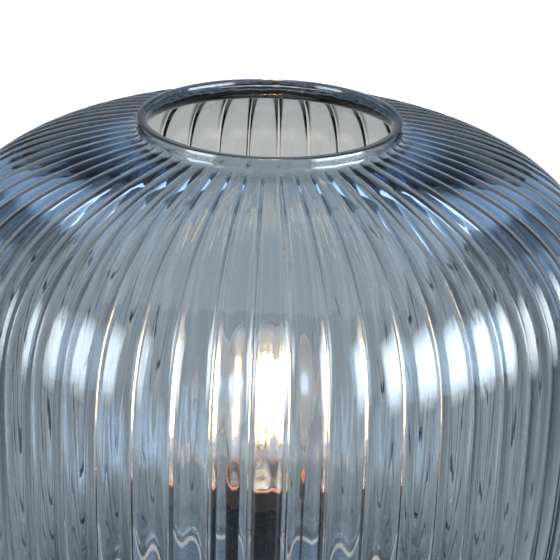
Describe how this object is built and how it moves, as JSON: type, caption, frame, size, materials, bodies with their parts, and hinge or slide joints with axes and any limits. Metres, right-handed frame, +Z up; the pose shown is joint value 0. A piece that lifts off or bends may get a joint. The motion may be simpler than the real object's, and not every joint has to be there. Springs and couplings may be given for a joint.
{
  "type": "glass table lamp",
  "caption": "Table lamp with an open-topped shade of ribbed blue-grey blown glass over an upright screw-in light bulb on a round black base.",
  "frame": {"origin": "on the surface the lamp stands on, below the middle of the shade", "axes": "+Z up along the lamp's axis, +Y towards the cord inlet at the back"},
  "size_m": [0.3, 0.3, 0.275],
  "materials": {
    "ribbed_glass": "clear blue-grey mould-blown glass",
    "clear_glass": "thin clear glass",
    "black_glass": "black vitreous insulator",
    "black_enamel": "fine-textured black powder coat",
    "satin_steel": "satin brushed steel",
    "clear_silicone": "milky translucent silicone",
    "cast_iron": "as cast, black wash",
    "steel_plate": "black coated steel",
    "zinc_steel": "zinc-plated steel",
    "black_rubber": "matt rubber",
    "black_plastic": "satin black nylon",
    "white_plastic": "natural nylon",
    "brass": "bright brass",
    "black_phenolic": "moulded black phenolic",
    "brown_phenolic": "moulded dark brown phenolic",
    "steatite": "unglazed steatite",
    "brown_insulation": "brown insulated wire",
    "blue_insulation": "blue insulated wire",
    "earth_insulation": "green and yellow insulated wire",
    "nickel": "nickel plate",
    "solder": "tin solder",
    "light_rod": "glowing phosphor-coated rod",
    "circuit_board": "glass-fibre board"
  },
  "bodies": {
    "base": {"base_cover": "satin_steel", "shade_seat_ring": "clear_silicone", "ballast_ring": "cast_iron", "bottom_plate": "steel_plate", "bottom_plate_screws": "zinc_steel", "foot_pads": "black_rubber", "cord_inlet_bush": "black_plastic", "cord_clamp": "white_plastic", "cord_clamp_screws": "zinc_steel", "terminal_block": "white_plastic", "terminal_barrels": "brass", "terminal_screws": "zinc_steel", "earth_screw": "zinc_steel", "earth_tag": "brass", "threaded_nipple": "zinc_steel", "nipple_washer": "zinc_steel", "nipple_nut": "zinc_steel", "pedestal_sleeve": "black_enamel", "lampholder_cap": "black_phenolic", "lampholder_body": "black_phenolic", "lampholder_ring": "brown_phenolic", "contact_block": "steatite", "contact_screws": "brass", "socket_shell": "brass", "centre_spring_contact": "brass", "holder_grub_screw": "zinc_steel", "live_wire": "brown_insulation", "neutral_wire": "blue_insulation", "earth_wire": "earth_insulation"},
    "shade": {"glass_shade": "ribbed_glass"},
    "bulb_ball": {"bulb_glass": "clear_glass"},
    "bulb_screw": {"bulb_cap": "nickel", "bulb_cap_insulator": "black_glass", "bulb_centre_contact": "solder", "bulb_stem": "clear_glass", "bulb_filaments": "light_rod", "bulb_support_wires": "nickel", "bulb_driver_board": "circuit_board"}
  },
  "joints": [
    {"name": "shade_lift", "type": "slide", "parent": "base", "child": "shade", "axis": [0, 0, 1], "range_m": [0, 0.2]},
    {"name": "bulb_rise", "type": "slide", "parent": "base", "child": "bulb_ball", "axis": [0, 0, 1], "range_m": [0, 0.01089]},
    {"name": "bulb_turn", "type": "hinge", "parent": "bulb_ball", "child": "bulb_screw", "pos_m": [0, 0, 0.09], "axis": [0, 0, 1], "range_deg": [0, 1080]}
  ],
  "couplings": [
    {"joint": "bulb_turn", "follows": "bulb_rise", "rad_per_m": 1731.4}
  ]
}
